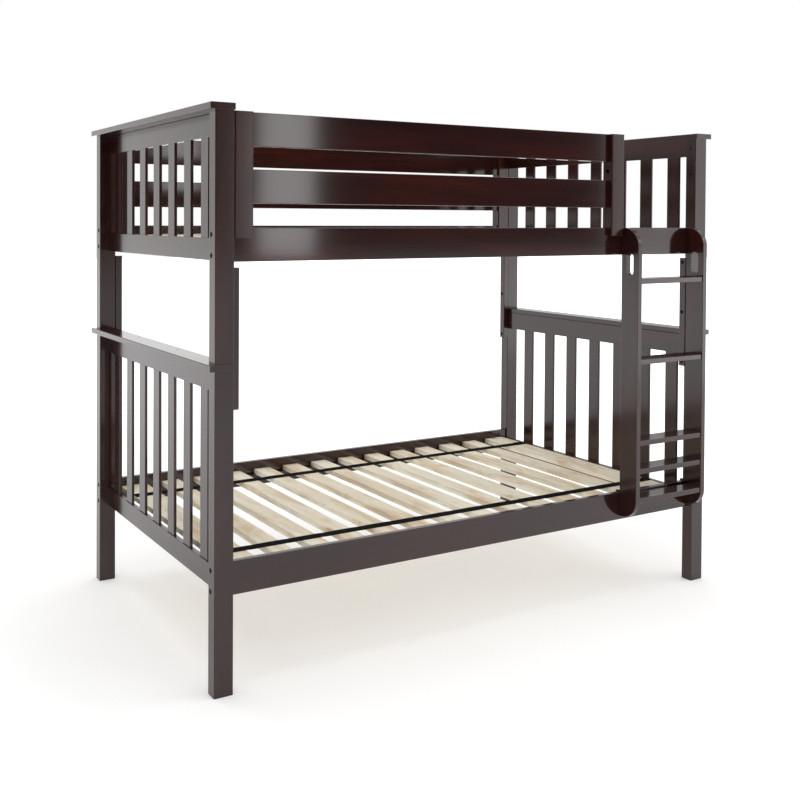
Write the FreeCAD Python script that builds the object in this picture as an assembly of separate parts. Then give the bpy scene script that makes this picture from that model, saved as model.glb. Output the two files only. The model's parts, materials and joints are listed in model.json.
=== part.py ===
"""Bunk bed with a ladder: two end frames stacked in two storeys, side rails,
slatted bases, guards and a fixed ladder.

Millimetres. X runs along the bed, Y from the front to the rear, Z up.
The bed is drawn about the middle of its four corner posts. As it is written, it is
moved back so that the origin is on the floor in the middle of the whole plan, with
the ladder that stands out at the front.
"""
import FreeCAD
import Part
import math
import os

# Overall sizes
bed_length = 2032.0          # over the outer faces of the posts
bed_width = 1080.0           # over the front and rear faces of the posts
lower_post_height = 929.0
upper_post_height = 720.0

# Posts and the cap boards over them
post_x = 60.0
post_y = 43.0
post_round = 2.5
cap_thickness = 19.0
cap_end_overhang = 18.0      # past the outer faces of the posts
cap_side_overhang = 6.0      # past the front and rear faces of the posts
cap_round = 2.0
cap_hole_diameter = 8.0
cap_hole_depth = 3.0
cap_hole_inset = 36.0        # from the outer faces of the posts
cap_hole_spread = 362.0

# End panels
end_rail_thickness = 17.0
end_rail_height = 67.0
lower_top_rail_height = 75.0
lower_panel_base = 273.0     # bottom of the lower panel's bottom rail, over the floor
upper_panel_base = 289.0     # bottom of the upper panel's bottom rail, over the lower cap
rail_tenon_thickness = 9.0
rail_tenon_shoulder = 8.0
tenon_bolt_wall = 1.5        # wood left between a tenon and the rail bolts beyond it
end_rail_round = 1.5
end_slat_count = 7
end_slat_width = 56.0
end_slat_thickness = 10.0
end_slat_wide_gap = 110.0    # from the row of slats to the front post at the left end
end_slat_narrow_gap = 34.0   # from the row to the rear post; the right end is turned round
end_slat_housing = 12.0      # depth of a slat's end in its rail
end_slat_round = 2.5

# Side rails, cleats and slatted bases
side_rail_thickness = 19.0
side_rail_height = 97.5
side_rail_setback = 17.0     # behind the front and rear faces of the posts
side_rail_round = 2.0
lower_side_base = 280.0      # bottom of the lower side rails, over the floor
upper_side_base = 288.5      # bottom of the upper side rails, over the lower cap
slat_drop = 32.0             # from the top of the side rails down to the slats
bed_slat_count = 14
bed_slat_width = 70.0
bed_slat_thickness = 19.0
bed_slat_round = 1.5
end_bed_slat_width = 100.0
bed_slat_end_gap = 25.0      # from an end slat to the inner faces of the posts
bed_slat_side_gap = 2.0      # from the ends of the slats to the side rails
cleat_thickness = 22.0
cleat_height = 30.0
cleat_end_gap = 6.0
strap_width = 38.0
strap_thickness = 1.6
strap_spread = 704.0         # between the middles of the two straps

# Guards
guard_post_x = 60.0
guard_post_y = 44.5
guard_slat_gap = 3.0         # from the slats up to the foot of a guard post
guard_post_round = 4.0
guard_board_height = 98.0
guard_board_thickness = 19.0
guard_board_gap = 66.0       # between the two boards
guard_board_tenon = 14.0
guard_top_drop = 1.5         # from the top of the upper posts down to the guard
front_guard_length = 1540.0
guard_bolt_recess = 28.0     # depth of the head pocket in a guard post
spare_hole_diameter = 8.0
spare_hole_depth = 12.0
spare_hole_drop = 34.0       # from the guard's top down to the upper spare hole

# Ladder
stringer_thickness = 20.0
stringer_depth = 76.0
stringer_corner_radius = 66.0
stringer_edge_round = 1.5
stringer_foot = 294.0        # over the floor
ladder_width = 358.0         # over the outer faces of the stringers
ladder_post_gap = 5.0        # from the ladder to the right front post
hand_slot_width = 31.0
hand_slot_height = 80.0
hand_slot_drop = 90.0        # from the top of a stringer down to its slot
tread_thickness = 18.5
tread_setback = 3.0          # behind the front edges of the stringers
tread_housing = 6.0          # depth of a tread's end in its stringer
tread_round = 2.0
tread_groove_count = 3
tread_groove_width = 3.0
tread_groove_depth = 1.5
tread_groove_pitch = 15.0
tread_tops = [371.0, 475.0, 576.0, 866.0, 1153.0]
hook_diameter = 6.0
hook_inset = 25.0            # length of a hook inside its stringer
hook_bend_radius = 5.0       # to the middle of the rod
hook_slat_gap = 5.0          # from a hook's tip down to the tops of the slats

# Join strips over the post joints
strip_x = 25.0
strip_y = 27.0
strip_length = 408.0
strip_setback = 19.0         # behind the front and rear faces of the posts
strip_round = 2.0
strip_rise = 1016.0          # middle of the strips, over the floor

# Fasteners and fits
joint_gap = 0.4              # between parts that are only bolted together
housing_gap = 0.2            # around tenons and housed ends
rail_bolt_diameter = 8.0
rail_bolt_length = 105.0
rail_bolt_head_diameter = 15.0
rail_bolt_head_height = 5.0
rail_bolt_recess = 7.0       # depth of the pocket that the head sits in
rail_bolt_spread = 60.0
barrel_nut_diameter = 10.0
barrel_nut_skin = 4.0        # wood left in front of a barrel nut
post_bolt_diameter = 6.0
post_bolt_length = 62.0
post_bolt_head_diameter = 14.0
post_bolt_head_height = 5.0
strip_bolt_recess = 8.0
strip_bolt_spread = 188.0
ladder_bolt_diameter = 6.0
ladder_bolt_length = 48.0
ladder_bolt_head_diameter = 12.0
ladder_bolt_head_height = 3.0
ladder_bolt_recess = 3.5
ladder_bolt_access = 20.0    # width of the notch in a cleat that lets a bolt head through
pin_diameter = 10.0
pin_length = 120.0
bore_gap = 0.25              # around every shank, head, nut and pin
socket_width_share = 0.84    # over the corners, of a bolt's shank
socket_depth_share = 0.6     # of a bolt's head

# Tolerances for picking faces and edges
parallel_cosine = 0.999
same_place = 0.01

# Heights and planes that follow from the sizes above
lower_cap_base = lower_post_height
lower_cap_top = lower_cap_base + cap_thickness
upper_post_top = lower_cap_top + upper_post_height
lower_side_top = lower_side_base + side_rail_height
upper_side_low = lower_cap_top + upper_side_base
upper_side_top = upper_side_low + side_rail_height
half_length = bed_length / 2
half_width = bed_width / 2
post_inner_x = half_length - post_x
post_inner_y = half_width - post_y
end_rail_middle_x = post_inner_x + end_rail_thickness / 2
bolt_face_x = post_inner_x - joint_gap
side_rail_front_y = half_width - side_rail_setback
side_rail_inner_y = side_rail_front_y - side_rail_thickness
side_rail_middle_y = side_rail_front_y - side_rail_thickness / 2
rail_tenon_end_y = side_rail_middle_y - rail_bolt_diameter / 2 - tenon_bolt_wall
guard_top = upper_post_top - guard_top_drop
guard_foot = upper_side_top - slat_drop + guard_slat_gap
ladder_right = post_inner_x - ladder_post_gap
ladder_left = ladder_right - ladder_width
stringer_back_y = -side_rail_front_y - joint_gap
stringer_front_y = stringer_back_y - stringer_depth
plan_rear_y = half_width + cap_side_overhang
plan_front_y = min(stringer_front_y, -plan_rear_y)
plan_middle_y = (plan_front_y + plan_rear_y) / 2

SIDES = {"left": -1, "right": 1}
ROWS = {"front": -1, "rear": 1}
X_AXIS = FreeCAD.Vector(1, 0, 0)
Y_AXIS = FreeCAD.Vector(0, 1, 0)
Z_AXIS = FreeCAD.Vector(0, 0, 1)


def box(x, y, z):
    """A box between pairs of limits, each pair in either order."""
    low = [min(pair) for pair in (x, y, z)]
    high = [max(pair) for pair in (x, y, z)]
    size = [b - a for a, b in zip(low, high)]
    return Part.makeBox(size[0], size[1], size[2], FreeCAD.Vector(*low))


def rod(start, axis, diameter, length):
    """A cylinder from a start point along an axis, which may point either way."""
    return Part.makeCylinder(diameter / 2, length, FreeCAD.Vector(*start), axis)


def runs_along(edge, axis):
    """Whether a straight edge is parallel to an axis."""
    along = edge.Vertexes[-1].Point - edge.Vertexes[0].Point
    return along.Length > 0 and abs(along.dot(axis)) > parallel_cosine * along.Length


def round_long_edges(shape, axis, radius):
    """Round the four edges of a bar that run along its axis."""
    return shape.makeFillet(radius, [edge for edge in shape.Edges if runs_along(edge, axis)])


def even_row(first, last, count):
    """Evenly spaced places from the first to the last."""
    pitch = (last - first) / (count - 1)
    return [first + i * pitch for i in range(count)]


def write(name, solids):
    """Write one node: a single shape, or several separate solids as a group."""
    shape = solids[0] if len(solids) == 1 else Part.makeCompound(solids)
    shape.translate(FreeCAD.Vector(0, -plan_middle_y, 0))
    shape.exportStep(os.path.join("parts", name + ".step"))


# Posts

def rail_bolt_heights():
    """Heights of the bolts through the lower and the upper posts."""
    spread = (-rail_bolt_spread / 2, rail_bolt_spread / 2)
    lower = [lower_side_base + side_rail_height / 2 + dz for dz in spread]
    upper = [upper_side_low + side_rail_height / 2 + dz for dz in spread]
    return {"lower": lower, "upper": upper}


def end_rail_levels():
    """Bottom and top of every end rail, by storey and place."""
    lower_bottom = lower_panel_base
    upper_bottom = lower_cap_top + upper_panel_base
    return {
        ("lower", "bottom"): (lower_bottom, lower_bottom + end_rail_height),
        ("lower", "top"): (lower_post_height - lower_top_rail_height, lower_post_height),
        ("upper", "bottom"): (upper_bottom, upper_bottom + end_rail_height),
        ("upper", "top"): (upper_post_top - end_rail_height, upper_post_top),
    }


def strip_bolt_heights():
    return [strip_rise + dz for dz in (-strip_bolt_spread, 0.0, strip_bolt_spread)]


def strip_middle_y():
    return half_width - strip_setback - strip_y / 2


def pin_place(side, row):
    """Middle of a post's section."""
    return side * (half_length - post_x / 2), row * (half_width - post_y / 2)


def pin_hole(side, row):
    """The bore for a stacking pin, through the cap and into both posts."""
    x, y = pin_place(side, row)
    low = lower_cap_base + cap_thickness / 2 - pin_length / 2
    return rod((x, y, low - bore_gap), Z_AXIS, pin_diameter + 2 * bore_gap, pin_length + 2 * bore_gap)


def rail_bolt_bore(side, row, height):
    """The bore and head pocket of one rail bolt, through the post and into the rail's end."""
    y = row * side_rail_middle_y
    shank_length = rail_bolt_length + rail_bolt_recess - rail_bolt_head_height + bore_gap
    shank = rod((side * half_length, y, height), X_AXIS * -side,
                rail_bolt_diameter + 2 * bore_gap, shank_length)
    pocket = rod((side * half_length, y, height), X_AXIS * -side,
                 rail_bolt_head_diameter + 2 * bore_gap, rail_bolt_recess)
    return shank.fuse(pocket)


def post_bolt_bore(face, y, height, side, recess):
    """The bore and head pocket of one post bolt, from a face outwards into a post."""
    shank = rod((face, y, height), X_AXIS * side, post_bolt_diameter + 2 * bore_gap,
                recess - post_bolt_head_height + post_bolt_length + bore_gap)
    pocket = rod((face, y, height), X_AXIS * side, post_bolt_head_diameter + 2 * bore_gap, recess)
    return shank.fuse(pocket)


def strip_bolt_bore(side, row, height):
    face = side * (bolt_face_x - strip_x)
    return post_bolt_bore(face, row * strip_middle_y(), height, side, strip_bolt_recess)


def guard_bolt_bore(side, row):
    """The bore of the bolt through a guard post, into the bed post beside it."""
    face = side * (bolt_face_x - guard_post_x)
    return post_bolt_bore(face, row * guard_bolt_y(), guard_bolt_height(), side, guard_bolt_recess)


def guard_is_bolted(side, row):
    """The front guard's right post stands beside the ladder opening, away from any bed post."""
    return not (side > 0 and row < 0)


def tenon_limits(side, row, level):
    """Limits of an end rail's tenon inside a post."""
    y = (row * post_inner_y, row * rail_tenon_end_y)
    x = (side * (end_rail_middle_x - rail_tenon_thickness / 2),
         side * (end_rail_middle_x + rail_tenon_thickness / 2))
    return x, y, (level[0] + rail_tenon_shoulder, level[1] - rail_tenon_shoulder)


def grown(limits, gap):
    """The same limits with a gap all round."""
    return [(min(pair) - gap, max(pair) + gap) for pair in limits]


def post(storey, side, row):
    """One post with its rounded edges, mortises and bores."""
    low, high = (0.0, lower_post_height) if storey == "lower" else (lower_cap_top, upper_post_top)
    x = (side * post_inner_x, side * half_length)
    y = (row * post_inner_y, row * half_width)
    shape = round_long_edges(box(x, y, (low, high)), Z_AXIS, post_round)
    for place in ("bottom", "top"):
        level = end_rail_levels()[(storey, place)]
        shape = shape.cut(box(*grown(tenon_limits(side, row, level), housing_gap)))
    for height in rail_bolt_heights()[storey]:
        shape = shape.cut(rail_bolt_bore(side, row, height))
    for height in strip_bolt_heights():
        if low < height < high:
            shape = shape.cut(strip_bolt_bore(side, row, height))
    shape = shape.cut(pin_hole(side, row))
    if storey == "upper" and guard_is_bolted(side, row):
        shape = shape.cut(guard_bolt_bore(side, row))
    if storey == "upper" and not guard_is_bolted(side, row):
        for hole in spare_holes():
            shape = shape.cut(hole)
    return shape


# Caps and end panels

def cap(base, side):
    """A board over the two posts of one end."""
    x = (side * post_inner_x, side * (half_length + cap_end_overhang))
    shape = box(x, (-plan_rear_y, plan_rear_y), (base, base + cap_thickness))
    shape = round_long_edges(shape, Y_AXIS, cap_round)
    if base == lower_cap_base:
        for row in ROWS.values():
            shape = shape.cut(pin_hole(side, row))
            shape = shape.cut(cap_hole(side, row))
    return shape


def cap_hole(side, row):
    """A shallow fixing hole in the top of a lower cap."""
    x = side * (half_length - cap_hole_inset)
    start = (x, row * cap_hole_spread / 2, lower_cap_top - cap_hole_depth)
    return rod(start, Z_AXIS, cap_hole_diameter, cap_hole_depth)


def end_slat_places(side):
    """Middles of the slats along Y. The right end is the left end turned round."""
    first = -post_inner_y + end_slat_wide_gap + end_slat_width / 2
    last = post_inner_y - end_slat_narrow_gap - end_slat_width / 2
    return [-side * y for y in even_row(first, last, end_slat_count)]


def end_slat_span(storey):
    """Bottom and top of a slat, both inside the rails."""
    levels = end_rail_levels()
    return (levels[(storey, "bottom")][1] - end_slat_housing,
            levels[(storey, "top")][0] + end_slat_housing)


def end_slat_limits(storey, side, y):
    x_half = end_slat_thickness / 2
    x = (side * end_rail_middle_x - x_half, side * end_rail_middle_x + x_half)
    return x, (y - end_slat_width / 2, y + end_slat_width / 2), end_slat_span(storey)


def end_rail(storey, place, side):
    """A rail between two posts, tenoned into them, with a mortise for every slat."""
    level = end_rail_levels()[(storey, place)]
    x = (side * post_inner_x, side * (post_inner_x + end_rail_thickness))
    shape = box(x, (-post_inner_y, post_inner_y), level)
    shape = round_long_edges(shape, Y_AXIS, end_rail_round)
    for row in ROWS.values():
        shape = shape.fuse(box(*tenon_limits(side, row, level)))
    for y in end_slat_places(side):
        shape = shape.cut(box(*grown(end_slat_limits(storey, side, y), housing_gap)))
    return shape


def end_slats(storey, side):
    """The upright slats of one panel."""
    solids = []
    for y in end_slat_places(side):
        solids.append(round_long_edges(box(*end_slat_limits(storey, side, y)), Z_AXIS, end_slat_round))
    return solids


# Side rails and slatted bases

def side_rail_base(storey):
    return lower_side_base if storey == "lower" else upper_side_low


def barrel_nut(side, row, height, gap):
    """A barrel nut across the end of a side rail, or its bore when a gap is given."""
    bolt_end = half_length - rail_bolt_recess + rail_bolt_head_height - rail_bolt_length
    x = side * (bolt_end + barrel_nut_diameter / 2)
    depth = side_rail_thickness - barrel_nut_skin
    return rod((x, row * side_rail_inner_y, height), Y_AXIS * row, barrel_nut_diameter + 2 * gap, depth)


def side_rail(storey, row):
    """A side rail between the posts, with its bolt and barrel nut bores."""
    base = side_rail_base(storey)
    y = (row * side_rail_inner_y, row * side_rail_front_y)
    shape = box((-bolt_face_x, bolt_face_x), y, (base, base + side_rail_height))
    shape = round_long_edges(shape, X_AXIS, side_rail_round)
    for side in SIDES.values():
        for height in rail_bolt_heights()[storey]:
            shape = shape.cut(rail_bolt_bore(side, row, height))
            shape = shape.cut(barrel_nut(side, row, height, bore_gap))
    if row < 0:
        for bore in ladder_bolt_bores(storey):
            shape = shape.cut(bore)
    return shape


def slat_top(storey):
    return side_rail_base(storey) + side_rail_height - slat_drop


def cleat(storey, row):
    """The bar on a side rail's inner face that the slats rest on."""
    x_limit = bolt_face_x - cleat_end_gap
    top = slat_top(storey) - bed_slat_thickness
    y = (row * side_rail_inner_y, row * (side_rail_inner_y - cleat_thickness))
    shape = box((-x_limit, x_limit), y, (top - cleat_height, top))
    if row < 0:
        for x, z in ladder_bolt_places(storey):
            notch = rod((x, -side_rail_inner_y, z), Y_AXIS, ladder_bolt_access, cleat_thickness)
            shape = shape.cut(notch)
    return shape


def bed_slat_rows():
    """Middle and width of every bed slat along X: equal gaps, with a wider slat at each end."""
    end = post_inner_x - bed_slat_end_gap - end_bed_slat_width / 2
    wood = (bed_slat_count - 2) * bed_slat_width + 2 * end_bed_slat_width
    gap = (2 * (post_inner_x - bed_slat_end_gap) - wood) / (bed_slat_count - 1)
    last_inner = end - end_bed_slat_width / 2 - gap - bed_slat_width / 2
    inner = even_row(-last_inner, last_inner, bed_slat_count - 2)
    rows = [(x, bed_slat_width) for x in inner]
    return [(-end, end_bed_slat_width)] + rows + [(end, end_bed_slat_width)]


def bed_slats(storey):
    """The slats that carry the mattress."""
    top = slat_top(storey)
    y_limit = side_rail_inner_y - bed_slat_side_gap
    solids = []
    for x, width in bed_slat_rows():
        slat = box((x - width / 2, x + width / 2), (-y_limit, y_limit), (top - bed_slat_thickness, top))
        solids.append(round_long_edges(slat, Y_AXIS, bed_slat_round))
    return solids


def straps(storey):
    """Two webbing straps over the slats, from one end slat to the other."""
    last, width = bed_slat_rows()[-1]
    x_limit = last + width / 2
    top = slat_top(storey)
    solids = []
    for y in (-strap_spread / 2, strap_spread / 2):
        y_pair = (y - strap_width / 2, y + strap_width / 2)
        solids.append(box((-x_limit, x_limit), y_pair, (top, top + strap_thickness)))
    return solids


# Guards

def guard_board_levels():
    """Bottom and top of the top board and the middle board."""
    top_low = guard_top - guard_board_height
    middle_top = top_low - guard_board_gap
    return {"top": (top_low, guard_top), "middle": (middle_top - guard_board_height, middle_top)}


def guard_span(row):
    """Outer limits of a guard along X: the front one stops short of the ladder."""
    left = -bolt_face_x
    right = left + front_guard_length if row < 0 else bolt_face_x
    return left, right


def guard_board_y(row):
    return row * side_rail_front_y, row * (side_rail_front_y - guard_board_thickness)


def guard_bolt_y():
    return half_width - guard_post_y / 2


def guard_bolt_height():
    """Middle of the gap between the two boards."""
    return guard_board_levels()["top"][0] - guard_board_gap / 2


def guard_post(row, side):
    """A short post notched over the side rail, with mortises for the boards."""
    left, right = guard_span(row)
    outer = left if side < 0 else right
    inner = outer - side * guard_post_x
    y = (row * half_width, row * (half_width - guard_post_y))
    shape = box((outer, inner), y, (guard_foot, guard_top))
    shape = round_long_edges(shape, Z_AXIS, guard_post_round)
    rail_y = (row * side_rail_front_y, row * side_rail_inner_y)
    shape = shape.cut(box(*grown(((outer, inner), rail_y, (guard_foot, upper_side_top)), joint_gap)))
    for level in guard_board_levels().values():
        tenon = ((inner, inner + side * guard_board_tenon), guard_board_y(row), level)
        shape = shape.cut(box(*grown(tenon, housing_gap)))
    pocket = rod((inner, row * guard_bolt_y(), guard_bolt_height()), X_AXIS * side,
                 post_bolt_head_diameter + 2 * bore_gap, guard_bolt_recess)
    shape = shape.cut(pocket)
    if guard_is_bolted(side, row):
        shape = shape.cut(guard_bolt_bore(side, row))
    return shape


def guard_board(row, place):
    """A board between the guard posts, let into both."""
    left, right = guard_span(row)
    reach = guard_post_x - guard_board_tenon
    shape = box((left + reach, right - reach), guard_board_y(row), guard_board_levels()[place])
    return round_long_edges(shape, X_AXIS, side_rail_round)


# Ladder

def stringer_x(side):
    """Outer and inner face of a stringer."""
    if side < 0:
        return ladder_left, ladder_left + stringer_thickness
    return ladder_right, ladder_right - stringer_thickness


def tread_limits(top):
    """Limits of a tread between the stringers, with both ends housed in them."""
    x = (stringer_x(-1)[1] - tread_housing, stringer_x(1)[1] + tread_housing)
    y = (stringer_front_y + tread_setback, stringer_back_y - tread_setback)
    return x, y, (top - tread_thickness, top)


def hand_slot(side):
    """An upright slot with round ends, right through a stringer."""
    outer, inner = stringer_x(side)
    middle_y = (stringer_front_y + stringer_back_y) / 2
    top = upper_side_top - hand_slot_drop
    radius = hand_slot_width / 2
    low_end = top - hand_slot_height + radius
    x_pair = (outer, inner)
    slot = box(x_pair, (middle_y - radius, middle_y + radius), (low_end, top - radius))
    for z in (low_end, top - radius):
        slot = slot.fuse(rod((min(x_pair), middle_y, z), X_AXIS, hand_slot_width, stringer_thickness))
    return slot


def stringer(side):
    """A ladder side with big rounds at its front corners, a hand slot and housings for the treads."""
    shape = box(stringer_x(side), (stringer_front_y, stringer_back_y), (stringer_foot, upper_side_top))
    corners = [edge for edge in shape.Edges
               if runs_along(edge, X_AXIS) and abs(edge.CenterOfMass.y - stringer_front_y) < same_place]
    shape = shape.makeFillet(stringer_corner_radius, corners)
    faces = [face for face in shape.Faces if abs(face.normalAt(0, 0).x) > parallel_cosine]
    shape = shape.makeFillet(stringer_edge_round, [edge for face in faces for edge in face.Edges])
    shape = shape.cut(hand_slot(side))
    for top in tread_tops:
        shape = shape.cut(box(*grown(tread_limits(top), housing_gap)))
    for storey in ("lower", "upper"):
        for bore in ladder_bolt_bores(storey):
            shape = shape.cut(bore)
    return shape.cut(hook_bore(side))


def hook_height():
    """Middle of the level part of a hook, just over the lower side rail."""
    return lower_side_top + joint_gap + hook_diameter / 2


def hook_bore(side):
    """The bore for a hook in the back of a stringer."""
    start = (sum(stringer_x(side)) / 2, stringer_back_y, hook_height())
    return rod(start, Y_AXIS * -1, hook_diameter + 2 * bore_gap, hook_inset + bore_gap)


def hook(side):
    """A bent rod from the back of a stringer, over the lower side rail and down behind it."""
    x = sum(stringer_x(side)) / 2
    high = hook_height()
    rear = -side_rail_inner_y + joint_gap + hook_diameter / 2
    bend_y = rear - hook_bend_radius
    bend_z = high - hook_bend_radius
    half_turn = hook_bend_radius * math.sqrt(0.5)
    start = FreeCAD.Vector(x, stringer_back_y - hook_inset, high)
    bend_start = FreeCAD.Vector(x, bend_y, high)
    bend_middle = FreeCAD.Vector(x, bend_y + half_turn, bend_z + half_turn)
    bend_end = FreeCAD.Vector(x, rear, bend_z)
    tip = FreeCAD.Vector(x, rear, lower_side_top - slat_drop + hook_slat_gap)
    path = Part.Wire([Part.LineSegment(start, bend_start).toShape(),
                      Part.Arc(bend_start, bend_middle, bend_end).toShape(),
                      Part.LineSegment(bend_end, tip).toShape()])
    section = Part.Wire(Part.Circle(start, Y_AXIS, hook_diameter / 2).toShape())
    return path.makePipeShell([section], True, True)


def tread_grooves(top):
    """Grip grooves along the top of a tread."""
    x, y, _ = tread_limits(top)
    half_span = (tread_groove_count - 1) * tread_groove_pitch / 2
    middle_y = sum(y) / 2
    grooves = []
    for groove_y in even_row(middle_y - half_span, middle_y + half_span, tread_groove_count):
        y_pair = (groove_y - tread_groove_width / 2, groove_y + tread_groove_width / 2)
        grooves.append(box(x, y_pair, (top - tread_groove_depth, top)))
    return grooves


def tread(top):
    shape = round_long_edges(box(*tread_limits(top)), X_AXIS, tread_round)
    for groove in tread_grooves(top):
        shape = shape.cut(groove)
    return shape


# Join strips

def join_strip(side, row):
    """A strip on the posts' inner faces, over the joint between two storeys."""
    y_middle = row * strip_middle_y()
    x = (side * bolt_face_x, side * (bolt_face_x - strip_x))
    y = (y_middle - strip_y / 2, y_middle + strip_y / 2)
    half = strip_length / 2
    shape = round_long_edges(box(x, y, (strip_rise - half, strip_rise + half)), Z_AXIS, strip_round)
    for height in strip_bolt_heights():
        shape = shape.cut(strip_bolt_bore(side, row, height))
    return shape


# Fasteners

HEXAGON_SIDES = 6
FULL_TURN = 360.0


def hexagon_prism(start, axis, corner_radius, depth):
    """A hexagonal prism from a start point along a level axis."""
    corners = []
    for index in range(HEXAGON_SIDES):
        turn = FreeCAD.Rotation(axis, FULL_TURN / HEXAGON_SIDES * index)
        corners.append(start + turn.multVec(Z_AXIS * corner_radius))
    outline = Part.makePolygon(corners + corners[:1])
    return Part.Face(outline).extrude(axis * depth)


def bolt(head_start, axis, head_diameter, head_height, diameter, length):
    """A bolt with a round head and a hexagon socket; the head's top is at its start point."""
    start = FreeCAD.Vector(*head_start)
    head = Part.makeCylinder(head_diameter / 2, head_height, start, axis)
    shank = Part.makeCylinder(diameter / 2, length - head_height, start + axis * head_height, axis)
    socket = hexagon_prism(start, axis, diameter * socket_width_share / 2,
                           head_height * socket_depth_share)
    return head.fuse(shank).cut(socket)


def rail_bolts():
    solids = []
    for heights in rail_bolt_heights().values():
        for height in heights:
            for side in SIDES.values():
                for row in ROWS.values():
                    x = side * (half_length - rail_bolt_recess + rail_bolt_head_height)
                    start = (x, row * side_rail_middle_y, height)
                    solids.append(bolt(start, X_AXIS * -side, rail_bolt_head_diameter,
                                       rail_bolt_head_height, rail_bolt_diameter, rail_bolt_length))
    return solids


def barrel_nuts():
    """Barrel nuts, each bored through for its bolt."""
    solids = []
    for heights in rail_bolt_heights().values():
        for height in heights:
            for side in SIDES.values():
                for row in ROWS.values():
                    nut = barrel_nut(side, row, height, 0.0)
                    solids.append(nut.cut(rail_bolt_bore(side, row, height)))
    return solids


def post_bolt(face, y, height, side, recess):
    """A post bolt with its head on the floor of its pocket."""
    start = (face + side * (recess - post_bolt_head_height), y, height)
    return bolt(start, X_AXIS * side, post_bolt_head_diameter, post_bolt_head_height,
                post_bolt_diameter, post_bolt_length)


def post_bolts():
    """The bolts of the join strips, and those from the guards into the bed posts."""
    solids = []
    for side in SIDES.values():
        for row in ROWS.values():
            face = side * (bolt_face_x - strip_x)
            for height in strip_bolt_heights():
                solids.append(post_bolt(face, row * strip_middle_y(), height, side, strip_bolt_recess))
            if guard_is_bolted(side, row):
                face = side * (bolt_face_x - guard_post_x)
                solids.append(post_bolt(face, row * guard_bolt_y(), guard_bolt_height(),
                                        side, guard_bolt_recess))
    return solids


def stacking_pins():
    solids = []
    low = lower_cap_base + cap_thickness / 2 - pin_length / 2
    for side in SIDES.values():
        for row in ROWS.values():
            x, y = pin_place(side, row)
            solids.append(rod((x, y, low), Z_AXIS, pin_diameter, pin_length))
    return solids


def ladder_bolt_places(storey):
    """Where the ladder's bolts pass a side rail: one for each stringer."""
    height = side_rail_base(storey) + side_rail_height / 2
    return [(sum(stringer_x(side)) / 2, height) for side in SIDES.values()]


def ladder_bolt_bores(storey):
    """Bores through the front side rail into the stringers, with pockets for the heads."""
    bores = []
    length = ladder_bolt_recess - ladder_bolt_head_height + ladder_bolt_length + bore_gap
    for x, z in ladder_bolt_places(storey):
        start = (x, -side_rail_inner_y, z)
        shank = rod(start, Y_AXIS * -1, ladder_bolt_diameter + 2 * bore_gap, length)
        pocket = rod(start, Y_AXIS * -1, ladder_bolt_head_diameter + 2 * bore_gap, ladder_bolt_recess)
        bores.append(shank.fuse(pocket))
    return bores


def ladder_bolts():
    solids = []
    for storey in ("lower", "upper"):
        for x, z in ladder_bolt_places(storey):
            start = (x, -side_rail_inner_y - ladder_bolt_recess + ladder_bolt_head_height, z)
            solids.append(bolt(start, Y_AXIS * -1, ladder_bolt_head_diameter,
                               ladder_bolt_head_height, ladder_bolt_diameter, ladder_bolt_length))
    return solids


def spare_holes():
    """Blind holes in the right front post, where the guard would be bolted if it were swapped over."""
    y = -guard_bolt_y()
    heights = (guard_bolt_height(), guard_top - spare_hole_drop)
    return [rod((post_inner_x, y, z), X_AXIS, spare_hole_diameter, spare_hole_depth) for z in heights]


def main():
    os.makedirs("parts", exist_ok=True)
    for storey in ("lower", "upper"):
        for side_name, side in SIDES.items():
            for row_name, row in ROWS.items():
                write(f"{storey}_post_{side_name}_{row_name}", [post(storey, side, row)])
            for place in ("bottom", "top"):
                write(f"{storey}_end_{place}_rail_{side_name}", [end_rail(storey, place, side)])
            write(f"{storey}_end_slats_{side_name}", end_slats(storey, side))
        for row_name, row in ROWS.items():
            write(f"{storey}_side_rail_{row_name}", [side_rail(storey, row)])
            write(f"{storey}_cleat_{row_name}", [cleat(storey, row)])
        write(f"{storey}_bed_slats", bed_slats(storey))
        write(f"{storey}_slat_straps", straps(storey))
    for side_name, side in SIDES.items():
        write(f"lower_cap_{side_name}", [cap(lower_cap_base, side)])
        write(f"upper_cap_{side_name}", [cap(upper_post_top, side)])
        write(f"ladder_stringer_{side_name}", [stringer(side)])
        for row_name, row in ROWS.items():
            write(f"join_strip_{side_name}_{row_name}", [join_strip(side, row)])
            write(f"{row_name}_guard_post_{side_name}", [guard_post(row, side)])
    for row_name, row in ROWS.items():
        for place in ("top", "middle"):
            write(f"{row_name}_guard_{place}_board", [guard_board(row, place)])
    for number, top in enumerate(tread_tops, start=1):
        write(f"ladder_tread_{number}", [tread(top)])
    write("rail_bolts", rail_bolts())
    write("barrel_nuts", barrel_nuts())
    write("post_bolts", post_bolts())
    write("stacking_pins", stacking_pins())
    write("ladder_bolts", ladder_bolts())
    write("ladder_hooks", [hook(side) for side in SIDES.values()])


main()
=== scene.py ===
"""Bunk bed with a ladder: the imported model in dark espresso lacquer, with raw pine slats,
black webbing and blackened bolts, on a pale studio floor. Metres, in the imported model's frame."""

import json
import math
import random

import bmesh
import bpy
from mathutils import Matrix, Vector


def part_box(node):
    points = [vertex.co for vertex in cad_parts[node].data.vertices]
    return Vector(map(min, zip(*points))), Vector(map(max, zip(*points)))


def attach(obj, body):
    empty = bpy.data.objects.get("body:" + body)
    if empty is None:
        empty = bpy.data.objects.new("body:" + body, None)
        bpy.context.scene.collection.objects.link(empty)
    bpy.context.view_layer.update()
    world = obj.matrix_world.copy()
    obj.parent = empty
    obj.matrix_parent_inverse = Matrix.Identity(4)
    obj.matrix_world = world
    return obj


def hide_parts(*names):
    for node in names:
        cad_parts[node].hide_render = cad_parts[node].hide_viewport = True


SEED = 11

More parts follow.
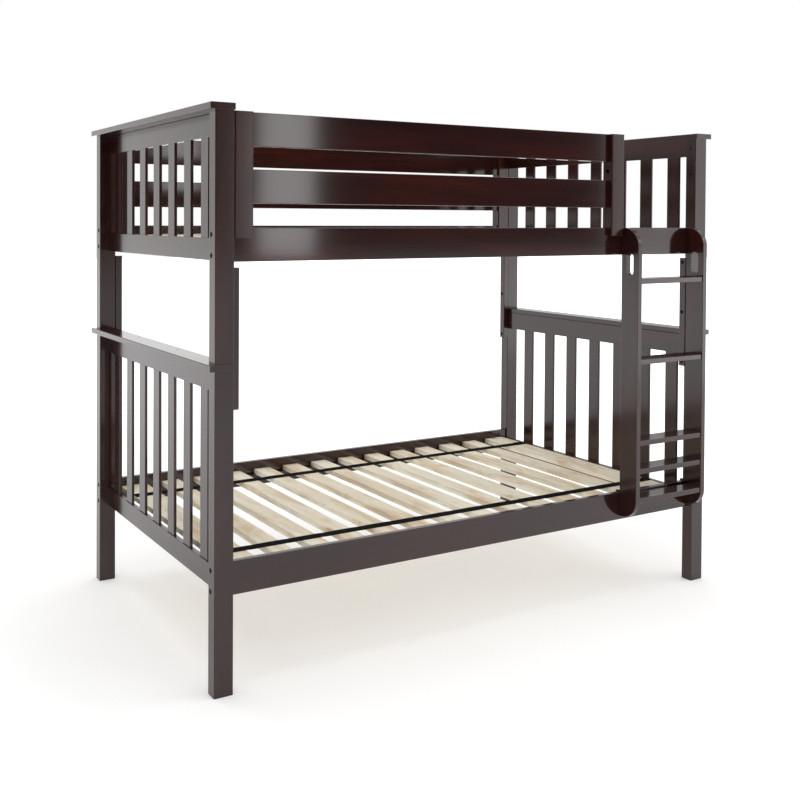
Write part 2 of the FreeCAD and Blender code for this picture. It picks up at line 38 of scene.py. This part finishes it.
# Brightness of the studio's walls and ceiling as the bed is lit by them
FRONT_WALL = 0.03
SIDE_WALL = 0.45
REAR_WALL = 1.30
CEILING = 1.0

# Webbing straps, in metres
HEM_LENGTH = 0.045
HEM_TURN_INSET = 0.002          # from a strap's end to where it starts to fold back
HEM_FLAT_INSET = 0.006          # from a strap's end to where the fold lies flat
SLAT_EDGE_INSET = 0.004         # a strap leaves a slat this far before the slat's edge
SAG_RANGE = (0.0003, 0.0010)    # least and most slack between two slats
SAG_STEPS = 8                   # parts of a strap between two slats
SAG_POWER = 1.5                 # over 1 for a strap that leaves its slats gently
FOLD_RADIUS_SHARE = 0.52        # a fold's radius as a share of the thickness
FOLD_STEPS = 6                  # parts of the half turn at a fold
RIBBON_SIDES = 20
PLY_FILL = 0.92                 # webbing thickness as a share of the plain strap's
SIDE_SQUARENESS = 0.35          # powers that square up the ribbon's section, across it
FACE_SQUARENESS = 0.55          # and through it; 1 is an ellipse
DRIFT = 0.0005                  # how far a strap wanders sideways
DRIFT_RATE = 9.0                # radians of that wander per metre

# Stitches, in metres
STITCH_PITCH = 0.0042
STITCH_RADIUS = 0.001
STITCH_SHARE = 0.62             # a stitch's length as a share of its pitch
STITCH_WIDTH = 0.45             # as shares of the radius
STITCH_HEIGHT = 0.38
STITCH_LIFT = 0.0001            # a stitch's middle above the folded strap
HEM_MARGIN_ACROSS = 0.005       # from a strap's edges to its stitching
HEM_MARGIN_OUTER = 0.010
HEM_MARGIN_INNER = 0.008

# Staples, in metres
STAPLE_HALF_CROWN = 0.0055
STAPLE_WIRE = 0.0006
STAPLE_RISE = 0.0007
STAPLE_LEG = 0.0012
STAPLE_SIDES = 8
STAPLE_FLATNESS = 0.6           # the wire's height as a share of its width
STAPLE_TURN = 0.12              # most turn in radians, and most shift, from square and centred
STAPLE_SHIFT = 0.002

# Coat roughness of the lacquer by grain direction
LACQUER_ROUGHNESS = {"X": 0.10, "Y": 0.16, "Z": 0.16}

# Studio floor's width in metres, and the camera's place and its angles in degrees
FLOOR_SIZE = 60.0
CAMERA_PLACE = (-2.1607, -3.0386, 1.3565)
CAMERA_YAW = 28.43
CAMERA_PITCH = -1.005
CAMERA_ROLL = 0.226
CAMERA_LENS = 44.391            # in millimetres, on a 36 mm wide frame
CAMERA_SHIFT = (0.1438, -0.2032)

# Softboxes: name, place, point aimed at, width, height and brightness
SOFTBOXES = (
    ("front_strip_box", (1.23, -4.2, 1.75), (-0.6, -0.5, 1.5), 0.40, 1.3, 4.5),
    ("front_right_box", (4.33, -2.35, 1.7), (0.7, -0.5, 1.2), 2.65, 3.2, 1.6),
    ("overhead_box", (0.3, 0.3, 4.4), (0.3, 0.3, 0.0), 5.5, 4.0, 0.7),
)

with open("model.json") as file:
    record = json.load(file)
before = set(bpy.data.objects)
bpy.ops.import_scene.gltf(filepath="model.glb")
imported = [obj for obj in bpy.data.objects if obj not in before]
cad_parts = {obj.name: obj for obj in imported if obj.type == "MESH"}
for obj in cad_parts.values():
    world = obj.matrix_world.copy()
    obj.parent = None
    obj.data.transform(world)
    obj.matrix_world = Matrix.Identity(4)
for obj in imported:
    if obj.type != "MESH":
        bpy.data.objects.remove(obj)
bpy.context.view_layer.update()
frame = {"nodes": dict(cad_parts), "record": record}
nodes = frame["nodes"]
slot_of = {part["node"]: part["material_slot"] for part in frame["record"]["subparts"]}
draw = random.Random(SEED)


# Node helpers

def add(tree, kind, inputs=(), **settings):
    """A node with its settings, its inputs given as values or as sockets to link."""
    node = tree.nodes.new("ShaderNode" + kind)
    for key, value in settings.items():
        setattr(node, key, value)
    for key, value in dict(inputs).items():
        if isinstance(value, bpy.types.NodeSocket):
            tree.links.new(value, node.inputs[key])
        else:
            node.inputs[key].default_value = value
    return node


def ramp(tree, value, stops):
    """A colour ramp over (place, colour) stops."""
    node = add(tree, "ValToRGB", {"Fac": value})
    elements = node.color_ramp.elements
    while len(elements) < len(stops):
        elements.new(0.5)
    for element, (place, colour) in zip(elements, stops):
        element.position = place
        element.color = (*colour, 1.0)
    return node.outputs["Color"]


def remap(tree, value, low, high, to_low, to_high):
    """A number moved from one range to another, and held inside it."""
    node = add(tree, "MapRange", {"Value": value, "From Min": low, "From Max": high,
                                  "To Min": to_low, "To Max": to_high})
    return node.outputs["Result"]


def blend_colours(tree, share, first, second, mode="MIX"):
    """The second colour laid over the first by a share; the colours may be sockets or RGB."""
    node = add(tree, "Mix", data_type="RGBA", blend_type=mode)
    for index, value in ((0, share), (6, first), (7, second)):
        if isinstance(value, bpy.types.NodeSocket):
            tree.links.new(value, node.inputs[index])
        elif isinstance(value, tuple):
            node.inputs[index].default_value = (*value, 1.0)
        else:
            node.inputs[index].default_value = value
    return node.outputs[2]


def multiply(tree, first, second):
    """Two numbers multiplied."""
    return add(tree, "Math", {0: first, 1: second}, operation="MULTIPLY").outputs[0]


def noise(tree, place, scale, detail=3.0, distortion=0.0):
    """A soft noise from 0 to 1."""
    return add(tree, "TexNoise", {"Vector": place, "Scale": scale, "Detail": detail,
                                  "Distortion": distortion}).outputs["Fac"]


def stretched(tree, axis, across):
    """Coordinates in metres, made finer across the grain than along it."""
    scale = [across, across, across]
    scale["XYZ".index(axis)] = 1.0
    place = add(tree, "TexCoord").outputs["Object"]
    return add(tree, "Mapping", {"Vector": place, "Scale": tuple(scale)}).outputs["Vector"]


def sharp_edge_mask(tree, radius):
    """About 1 on sharp edges and 0 on flat faces."""
    soft = add(tree, "Bevel", {"Radius": radius}, samples=4).outputs["Normal"]
    hard = add(tree, "NewGeometry").outputs["Normal"]
    same = add(tree, "VectorMath", {0: soft, 1: hard}, operation="DOT_PRODUCT").outputs["Value"]
    return remap(tree, same, 0.97, 0.80, 0.0, 1.0)


def new_material(name):
    """A material, its node tree and its shader."""
    material = bpy.data.materials.new(name)
    material.use_nodes = True
    return material, material.node_tree, material.node_tree.nodes["Principled BSDF"]


# Materials

def espresso(name, axis, coat_roughness):
    """Dark stained wood under a satin lacquer, its grain along one axis."""
    material, tree, shader = new_material(name)
    broad = noise(tree, stretched(tree, axis, 7.0), 1.7, detail=4.0, distortion=0.4)
    colour = ramp(tree, broad, ((0.30, (0.0160, 0.0042, 0.0036)),
                                (0.52, (0.0230, 0.0058, 0.0047)),
                                (0.66, (0.0330, 0.0066, 0.0046)),
                                (0.80, (0.0460, 0.0078, 0.0046))))
    streak = noise(tree, stretched(tree, axis, 28.0), 5.5, detail=5.0)
    shade = remap(tree, streak, 0.25, 0.75, 0.72, 1.28)
    colour = blend_colours(tree, 1.0, colour, shade, mode="MULTIPLY")
    pores = noise(tree, stretched(tree, axis, 40.0), 22.0, detail=2.0)
    pore_shade = remap(tree, pores, 0.28, 0.42, 0.72, 1.0)
    colour = blend_colours(tree, 1.0, colour, pore_shade, mode="MULTIPLY")
    # Sharp edges turn a lighter reddish brown in patches: partly wear, partly a painted highlight along the
    # edges.
    patch = noise(tree, add(tree, "TexCoord").outputs["Object"], 9.0)
    worn = multiply(tree, sharp_edge_mask(tree, 0.0035), remap(tree, patch, 0.38, 0.62, 0.15, 0.75))
    colour = blend_colours(tree, worn, colour, (0.105, 0.042, 0.028))
    tree.links.new(colour, shader.inputs["Base Color"])
    tree.links.new(remap(tree, streak, 0.2, 0.8, 0.46, 0.34), shader.inputs["Roughness"])
    grain_bump = add(tree, "Bump", {"Height": pores, "Strength": 0.10, "Distance": 0.0004})
    wave_bump = add(tree, "Bump", {"Height": streak, "Strength": 0.12, "Distance": 0.0006,
                                   "Normal": grain_bump.outputs["Normal"]})
    tree.links.new(wave_bump.outputs["Normal"], shader.inputs["Normal"])
    coat_bump = add(tree, "Bump", {"Height": streak, "Strength": 0.035, "Distance": 0.0005})
    tree.links.new(coat_bump.outputs["Normal"], shader.inputs["Coat Normal"])
    shader.inputs["Specular IOR Level"].default_value = 0.02
    shader.inputs["Coat Weight"].default_value = 1.0
    shader.inputs["Coat Roughness"].default_value = coat_roughness
    shader.inputs["Coat IOR"].default_value = 1.55
    return material


def raw_pine():
    """Planed pine with soft growth lines, streaks and orange-brown knots, its grain along Y."""
    material, tree, shader = new_material("raw_pine")
    place = stretched(tree, "Y", 6.0)
    broad = noise(tree, place, 2.6, detail=3.0, distortion=0.5)
    colour = ramp(tree, broad, ((0.30, (0.72, 0.57, 0.39)),
                                (0.46, (0.86, 0.76, 0.58)),
                                (0.62, (0.92, 0.87, 0.73)),
                                (0.78, (0.82, 0.70, 0.50))))
    lines = add(tree, "TexWave", {"Vector": stretched(tree, "Y", 9.0), "Scale": 6.5, "Distortion": 6.0,
                                  "Detail": 3.0, "Detail Scale": 0.7},
                wave_type="BANDS", bands_direction="X").outputs["Fac"]
    colour = blend_colours(tree, 1.0, colour, remap(tree, lines, 0.1, 0.9, 0.84, 1.04), mode="MULTIPLY")
    fibre = noise(tree, stretched(tree, "Y", 30.0), 24.0, detail=5.0)
    colour = blend_colours(tree, 1.0, colour, remap(tree, fibre, 0.3, 0.7, 0.87, 1.08), mode="MULTIPLY")
    stain = noise(tree, stretched(tree, "Y", 2.6), 4.2, detail=3.0, distortion=1.2)
    stained = remap(tree, stain, 0.56, 0.72, 0.0, 0.62)
    colour = blend_colours(tree, stained, colour, (0.60, 0.40, 0.215))
    cells = add(tree, "TexVoronoi", {"Vector": stretched(tree, "Y", 1.9), "Scale": 4.6, "Randomness": 0.95})
    chosen = remap(tree, add(tree, "SeparateColor", {"Color": cells.outputs["Color"]}).outputs["Red"],
                   0.52, 0.54, 0.0, 1.0)
    ring = multiply(tree, remap(tree, cells.outputs["Distance"], 0.05, 0.17, 0.6, 0.0), chosen)
    heart = multiply(tree, remap(tree, cells.outputs["Distance"], 0.025, 0.06, 0.9, 0.0), chosen)
    colour = blend_colours(tree, ring, colour, (0.50, 0.27, 0.115))
    colour = blend_colours(tree, heart, colour, (0.26, 0.10, 0.038))
    # Sharp edges painted a paler cream: a painted highlight along the edges.
    edge = multiply(tree, sharp_edge_mask(tree, 0.002), remap(tree, fibre, 0.3, 0.7, 0.2, 0.5))
    colour = blend_colours(tree, edge, colour, (0.86, 0.77, 0.60))
    tree.links.new(colour, shader.inputs["Base Color"])
    tree.links.new(remap(tree, fibre, 0.3, 0.7, 0.62, 0.5), shader.inputs["Roughness"])
    fibre_bump = add(tree, "Bump", {"Height": fibre, "Strength": 0.25, "Distance": 0.0005})
    line_bump = add(tree, "Bump", {"Height": lines, "Strength": 0.10, "Distance": 0.0004,
                                   "Normal": fibre_bump.outputs["Normal"]})
    tree.links.new(line_bump.outputs["Normal"], shader.inputs["Normal"])
    return material


def black_webbing():
    """Woven black webbing, its ribs across the strap and its yarns along it."""
    material, tree, shader = new_material("black_webbing")
    place = add(tree, "TexCoord").outputs["Object"]
    ribs = add(tree, "TexWave", {"Vector": place, "Scale": 160.0, "Distortion": 0.4},
               wave_type="BANDS", bands_direction="X").outputs["Fac"]
    yarns = add(tree, "TexWave", {"Vector": place, "Scale": 130.0, "Distortion": 0.6},
                wave_type="BANDS", bands_direction="Y").outputs["Fac"]
    weave = multiply(tree, ribs, yarns)
    dust = noise(tree, place, 24.0)
    # The weave's hollows are painted darker than its crests, following the bump's height: painted shade.
    colour = ramp(tree, weave, ((0.0, (0.0006, 0.0006, 0.0007)), (1.0, (0.0035, 0.0035, 0.0038))))
    colour = blend_colours(tree, remap(tree, dust, 0.55, 0.8, 0.0, 0.10), colour, (0.016, 0.015, 0.014))
    tree.links.new(colour, shader.inputs["Base Color"])
    tree.links.new(remap(tree, weave, 0.0, 1.0, 0.85, 0.62), shader.inputs["Roughness"])
    bump = add(tree, "Bump", {"Height": weave, "Strength": 1.0, "Distance": 0.0008})
    tree.links.new(bump.outputs["Normal"], shader.inputs["Normal"])
    shader.inputs["Specular IOR Level"].default_value = 0.05
    return material


def waxed_thread():
    """Charcoal sewing thread with a faint twist."""
    material, tree, shader = new_material("waxed_thread")
    place = add(tree, "TexCoord").outputs["Object"]
    twist = add(tree, "TexWave", {"Vector": place, "Scale": 420.0, "Distortion": 0.5},
                wave_type="BANDS", bands_direction="DIAGONAL").outputs["Fac"]
    colour = ramp(tree, twist, ((0.0, (0.020, 0.020, 0.021)), (1.0, (0.052, 0.051, 0.052))))
    tree.links.new(colour, shader.inputs["Base Color"])
    tree.links.new(remap(tree, twist, 0.0, 1.0, 0.65, 0.45), shader.inputs["Roughness"])
    return material


def black_metal(name, worn_colour):
    """Blackened steel, rubbed brighter where edges are handled."""
    material, tree, shader = new_material(name)
    place = add(tree, "TexCoord").outputs["Object"]
    mottle = noise(tree, place, 160.0, detail=4.0)
    colour = ramp(tree, mottle, ((0.3, (0.010, 0.010, 0.011)), (0.7, (0.026, 0.026, 0.029))))
    worn = multiply(tree, sharp_edge_mask(tree, 0.0008), remap(tree, mottle, 0.4, 0.6, 0.2, 0.8))
    colour = blend_colours(tree, worn, colour, worn_colour)
    tree.links.new(colour, shader.inputs["Base Color"])
    tree.links.new(remap(tree, mottle, 0.2, 0.8, 0.30, 0.52), shader.inputs["Roughness"])
    bump = add(tree, "Bump", {"Height": mottle, "Strength": 0.08, "Distance": 0.0002})
    tree.links.new(bump.outputs["Normal"], shader.inputs["Normal"])
    shader.inputs["Metallic"].default_value = 0.9
    return material


def pale_floor():
    """A plain pale floor with the faintest mottle, glowing more and more away from the bed."""
    material, tree, shader = new_material("pale_floor")
    place = add(tree, "TexCoord").outputs["Object"]
    colour = ramp(tree, noise(tree, place, 0.8), ((0.3, (0.89, 0.89, 0.89)), (0.7, (0.92, 0.92, 0.92))))
    tree.links.new(colour, shader.inputs["Base Color"])
    rearward = add(tree, "SeparateXYZ", {"Vector": place}).outputs["Y"]
    cast = remap(tree, rearward, 0.6, 4.5, 0.16, 0.8)
    away = add(tree, "VectorMath", {0: place}, operation="LENGTH").outputs["Value"]
    visible = remap(tree, away, 1.4, 5.0, 0.16, 1.0)
    seen = add(tree, "LightPath").outputs["Is Camera Ray"]
    glow = add(tree, "Mix", {0: seen, 2: cast, 3: visible}, data_type="FLOAT").outputs[0]
    tree.links.new(glow, shader.inputs["Emission Strength"])
    shader.inputs["Emission Color"].default_value = (1.0, 1.0, 1.0, 1.0)
    shader.inputs["Roughness"].default_value = 0.9
    shader.inputs["Specular IOR Level"].default_value = 0.1
    return material


def grain_axis(name):
    """The axis that a wooden part's grain runs along."""
    low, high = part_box(name)
    if "end_slats" in name:
        return "Z"
    size = [high[i] - low[i] for i in range(3)]
    return "XYZ"[size.index(max(size))]


def paint(node, material):
    """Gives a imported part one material."""
    node.data.materials.clear()
    node.data.materials.append(material)


def dress_nodes():
    """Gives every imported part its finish."""
    lacquer = {axis: espresso("espresso_grain_" + axis.lower(), axis, roughness)
               for axis, roughness in LACQUER_ROUGHNESS.items()}
    pine = raw_pine()
    metal = black_metal("blackened_steel", (0.32, 0.31, 0.30))
    for name, node in nodes.items():
        if slot_of[name] == "espresso_wood":
            paint(node, lacquer[grain_axis(name)])
        elif slot_of[name] == "pine":
            paint(node, pine)
        elif slot_of[name] == "dark_metal":
            paint(node, metal)


# Webbing

def islands(name):
    """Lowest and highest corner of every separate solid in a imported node."""
    mesh = bmesh.new()
    mesh.from_mesh(nodes[name].data)
    bmesh.ops.remove_doubles(mesh, verts=mesh.verts, dist=1e-5)
    left = set(mesh.verts)
    found = []
    while left:
        stack = [left.pop()]
        points = []
        while stack:
            vertex = stack.pop()
            points.append(vertex.co.copy())
            for edge in vertex.link_edges:
                other = edge.other_vert(vertex)
                if other in left:
                    left.remove(other)
                    stack.append(other)
        found.append(([min(p[i] for p in points) for i in range(3)],
                      [max(p[i] for p in points) for i in range(3)]))
    mesh.free()
    return sorted(found)


def new_piece(name, mesh, material):
    """A piece from a finished mesh, riding with the bed."""
    data = bpy.data.meshes.new(name)
    mesh.to_mesh(data)
    mesh.free()
    data.materials.append(material)
    piece = bpy.data.objects.new(name, data)
    bpy.context.scene.collection.objects.link(piece)
    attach(piece, "root")
    return piece


def strap_line(low, high, slats):
    """Middle line of a strap: level on the slats, a little slack between them, folded back at both ends."""
    thickness = high[2] - low[2]
    rest = low[2] + thickness / 2
    start, stop = low[0] + HEM_TURN_INSET, high[0] - HEM_TURN_INSET
    inner = [(start, rest)]
    for (_, slat_end), (next_start, _) in zip(slats, slats[1:]):
        sag = draw.uniform(*SAG_RANGE)
        inner.append((slat_end - SLAT_EDGE_INSET, rest))
        for step in range(1, SAG_STEPS):
            share = step / SAG_STEPS
            dip = sag * math.sin(math.pi * share) ** SAG_POWER
            inner.append((slat_end + share * (next_start - slat_end), rest - dip))
        inner.append((next_start + SLAT_EDGE_INSET, rest))
    inner.append((stop, rest))
    fold_radius = FOLD_RADIUS_SHARE * thickness
    over = rest + 2 * fold_radius
    turn = [math.pi * step / FOLD_STEPS for step in range(1, FOLD_STEPS)]
    left = [(low[0] + HEM_LENGTH, over), (low[0] + HEM_FLAT_INSET, over)]
    left += [(start - fold_radius * math.sin(a), rest + fold_radius * (1 + math.cos(a))) for a in turn]
    right = [(stop + fold_radius * math.sin(a), rest + fold_radius * (1 - math.cos(a))) for a in turn]
    right += [(high[0] - HEM_FLAT_INSET, over), (high[0] - HEM_LENGTH, over)]
    return left + inner + right


def sweep_rings(mesh, rings, sides):
    """Faces between neighbouring rings, and one across each end."""
    for first, second in zip(rings, rings[1:]):
        for k in range(sides):
            mesh.faces.new((first[k], second[k], second[k - 1], first[k - 1]))
    mesh.faces.new(rings[0])
    mesh.faces.new(list(reversed(rings[-1])))


def run_at(line, index):
    """Direction of a line of points at one of its points."""
    before = line[max(index - 1, 0)]
    after = line[min(index + 1, len(line) - 1)]
    return Vector((after[0] - before[0], after[1] - before[1])).normalized()


def ribbon(mesh, line, low, high):
    """Sweeps a flat section with soft thick edges along a line."""
    middle = (low[1] + high[1]) / 2
    half_width = (high[1] - low[1]) / 2
    half_thickness = (high[2] - low[2]) / 2 * PLY_FILL
    section = []
    for step in range(RIBBON_SIDES):
        angle = 2 * math.pi * step / RIBBON_SIDES
        across = math.copysign(abs(math.cos(angle)) ** SIDE_SQUARENESS, math.cos(angle))
        up = math.copysign(abs(math.sin(angle)) ** FACE_SQUARENESS, math.sin(angle))
        section.append((across * half_width, up * half_thickness))
    rings = []
    for index, (x, z) in enumerate(line):
        run = run_at(line, index)
        drift = DRIFT * math.sin(DRIFT_RATE * x)
        rings.append([mesh.verts.new((x - run.y * up, middle + drift + across, z + run.x * up))
                      for across, up in section])
    sweep_rings(mesh, rings, RIBBON_SIDES)


def stitches(mesh, start, end, height):
    """A straight row of stitches between two points on a strap."""
    start, end = Vector(start), Vector(end)
    run = end - start
    count = max(2, round(run.length / STITCH_PITCH))
    turn = Matrix.Rotation(math.atan2(run.y, run.x), 4, "Z")
    half_length = STITCH_SHARE * run.length / count / 2
    shape = Matrix.Diagonal((half_length / STITCH_RADIUS, STITCH_WIDTH, STITCH_HEIGHT, 1.0))
    for index in range(count):
        place = start + run * ((index + 0.5) / count)
        move = Matrix.Translation((place.x, place.y, height)) @ turn
        bmesh.ops.create_icosphere(mesh, subdivisions=2, radius=STITCH_RADIUS, matrix=move @ shape)


def hem_stitching(mesh, low, high, end):
    """A crossed box of stitches through the folded end of a strap."""
    tip = high[0] if end > 0 else low[0]
    outer = tip - end * HEM_MARGIN_OUTER
    inner = tip - end * (HEM_LENGTH - HEM_MARGIN_INNER)
    near, far = low[1] + HEM_MARGIN_ACROSS, high[1] - HEM_MARGIN_ACROSS
    two_plies = 2 * (high[2] - low[2])
    corners = [(outer, near), (inner, near), (inner, far), (outer, far)]
    for a, b in ((0, 1), (1, 2), (2, 3), (3, 0), (0, 2), (1, 3)):
        stitches(mesh, corners[a], corners[b], low[2] + two_plies + STITCH_LIFT)


def staple(mesh, x, y, top):
    """A wire staple across a strap: a flat crown with its legs going down into the slat."""
    turn = Matrix.Rotation(draw.uniform(-STAPLE_TURN, STAPLE_TURN), 4, "Z")
    shift_x = draw.uniform(-STAPLE_SHIFT, STAPLE_SHIFT)
    shift_y = draw.uniform(-STAPLE_SHIFT, STAPLE_SHIFT)
    place = Matrix.Translation((x + shift_x, y + shift_y, top))
    bend = 0.9 * STAPLE_HALF_CROWN
    shoulder = 0.55 * STAPLE_RISE
    half_path = [(STAPLE_HALF_CROWN, -STAPLE_LEG), (STAPLE_HALF_CROWN, shoulder), (bend, STAPLE_RISE)]
    path = [(-across, up) for across, up in half_path] + list(reversed(half_path))
    rings = []
    for index, (across, up) in enumerate(path):
        run = run_at(path, index)
        ring = []
        for step in range(STAPLE_SIDES):
            angle = 2 * math.pi * step / STAPLE_SIDES
            side = STAPLE_WIRE * math.cos(angle)
            lift = STAPLE_FLATNESS * STAPLE_WIRE * math.sin(angle)
            point = Vector((side, across - run.y * lift, up + run.x * lift))
            ring.append(mesh.verts.new(place @ turn @ point))
        rings.append(ring)
    sweep_rings(mesh, rings, STAPLE_SIDES)


def smooth(piece):
    """Shades a piece smooth."""
    for face in piece.data.polygons:
        face.use_smooth = True


def strap_set(storey, webbing, thread, steel):
    """The two straps of a bunk with their stitched hems and staples, in place of the plain ones."""
    plain = storey + "_slat_straps"
    slats = [(low[0], high[0]) for low, high in islands(storey + "_bed_slats")]
    straps, sewing, staples = bmesh.new(), bmesh.new(), bmesh.new()
    for low, high in islands(plain):
        ribbon(straps, strap_line(low, high, slats), low, high)
        for end in (-1, 1):
            hem_stitching(sewing, low, high, end)
        for start, stop in slats[1:-1]:
            staple(staples, (start + stop) / 2, (low[1] + high[1]) / 2, high[2])
    for mesh in (straps, sewing, staples):
        bmesh.ops.recalc_face_normals(mesh, faces=mesh.faces)
    webbing_piece = new_piece(storey + "_webbing", straps, webbing)
    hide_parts(plain)
    smooth(webbing_piece)
    smooth(new_piece(storey + "_stitching", sewing, thread))
    smooth(new_piece(storey + "_staples", staples, steel))


def build_straps():
    """The straps of both bunks."""
    webbing = black_webbing()
    thread = waxed_thread()
    steel = black_metal("staple_steel", (0.42, 0.41, 0.40))
    for storey in ("lower", "upper"):
        strap_set(storey, webbing, thread, steel)


# Studio

def softbox(name, place, aim, width, height, brightness):
    """A rectangular soft light of even brightness over its face."""
    light = bpy.data.lights.new(name, "AREA")
    light.shape = "RECTANGLE"
    light.size = width
    light.size_y = height
    light.energy = brightness * math.pi * width * height
    lamp = bpy.data.objects.new(name, light)
    lamp.location = place
    lamp.rotation_euler = (Vector(aim) - Vector(place)).to_track_quat("-Z", "Y").to_euler()
    bpy.context.scene.collection.objects.link(lamp)


def studio():
    """The floor, the surroundings and the softboxes."""
    mesh = bpy.data.meshes.new("studio_floor")
    half = FLOOR_SIZE / 2
    corners = [(-half, -half, 0.0), (half, -half, 0.0), (half, half, 0.0), (-half, half, 0.0)]
    mesh.from_pydata(corners, [], [(0, 1, 2, 3)])
    mesh.materials.append(pale_floor())
    floor = bpy.data.objects.new("studio_floor", mesh)
    bpy.context.scene.collection.objects.link(floor)
    surround()
    for box_settings in SOFTBOXES:
        softbox(*box_settings)


def surround():
    """Studio walls: white where they are seen, but lighting the bed dimly from the front and
    brightly from behind and above."""
    world = bpy.data.worlds.new("studio")
    world.use_nodes = True
    bpy.context.scene.world = world
    tree = world.node_tree
    toward = add(tree, "SeparateXYZ", {"Vector": add(tree, "TexCoord").outputs["Generated"]})
    front = remap(tree, toward.outputs["Y"], -0.35, 0.10, FRONT_WALL, SIDE_WALL)
    rear = remap(tree, toward.outputs["Y"], 0.62, 0.88, 0.0, 1.0)
    walls = add(tree, "Mix", {0: rear, 2: front, 3: REAR_WALL}, data_type="FLOAT").outputs[0]
    height = remap(tree, toward.outputs["Z"], 0.14, 0.40, 0.0, 1.0)
    lighting = add(tree, "Mix", {0: height, 2: walls, 3: CEILING}, data_type="FLOAT").outputs[0]
    seen = add(tree, "LightPath").outputs["Is Camera Ray"]
    strength = add(tree, "Mix", {0: seen, 2: lighting, 3: 1.0}, data_type="FLOAT").outputs[0]
    tree.links.new(strength, tree.nodes["Background"].inputs["Strength"])
    tree.nodes["Background"].inputs["Color"].default_value = (1.0, 1.0, 1.0, 1.0)


def camera():
    """A nearly level view from the front left, from the height of the upper bunk."""
    data = bpy.data.cameras.new("camera")
    data.sensor_width = 36.0
    data.lens = CAMERA_LENS
    data.shift_x, data.shift_y = CAMERA_SHIFT
    eye = bpy.data.objects.new("camera", data)
    yaw, pitch, roll = (math.radians(a) for a in (CAMERA_YAW, CAMERA_PITCH, CAMERA_ROLL))
    forward = Vector((math.sin(yaw) * math.cos(pitch), math.cos(yaw) * math.cos(pitch), math.sin(pitch)))
    right = Vector((math.cos(yaw), -math.sin(yaw), 0.0))
    up = right.cross(forward)
    rolled_right = math.cos(roll) * right + math.sin(roll) * up
    rolled_up = math.cos(roll) * up - math.sin(roll) * right
    turn = Matrix((rolled_right, rolled_up, -forward)).transposed()
    eye.matrix_world = Matrix.Translation(CAMERA_PLACE) @ turn.to_4x4()
    bpy.context.scene.collection.objects.link(eye)
    bpy.context.scene.camera = eye


dress_nodes()
build_straps()
studio()
camera()
bpy.context.scene.view_settings.view_transform = "Standard"
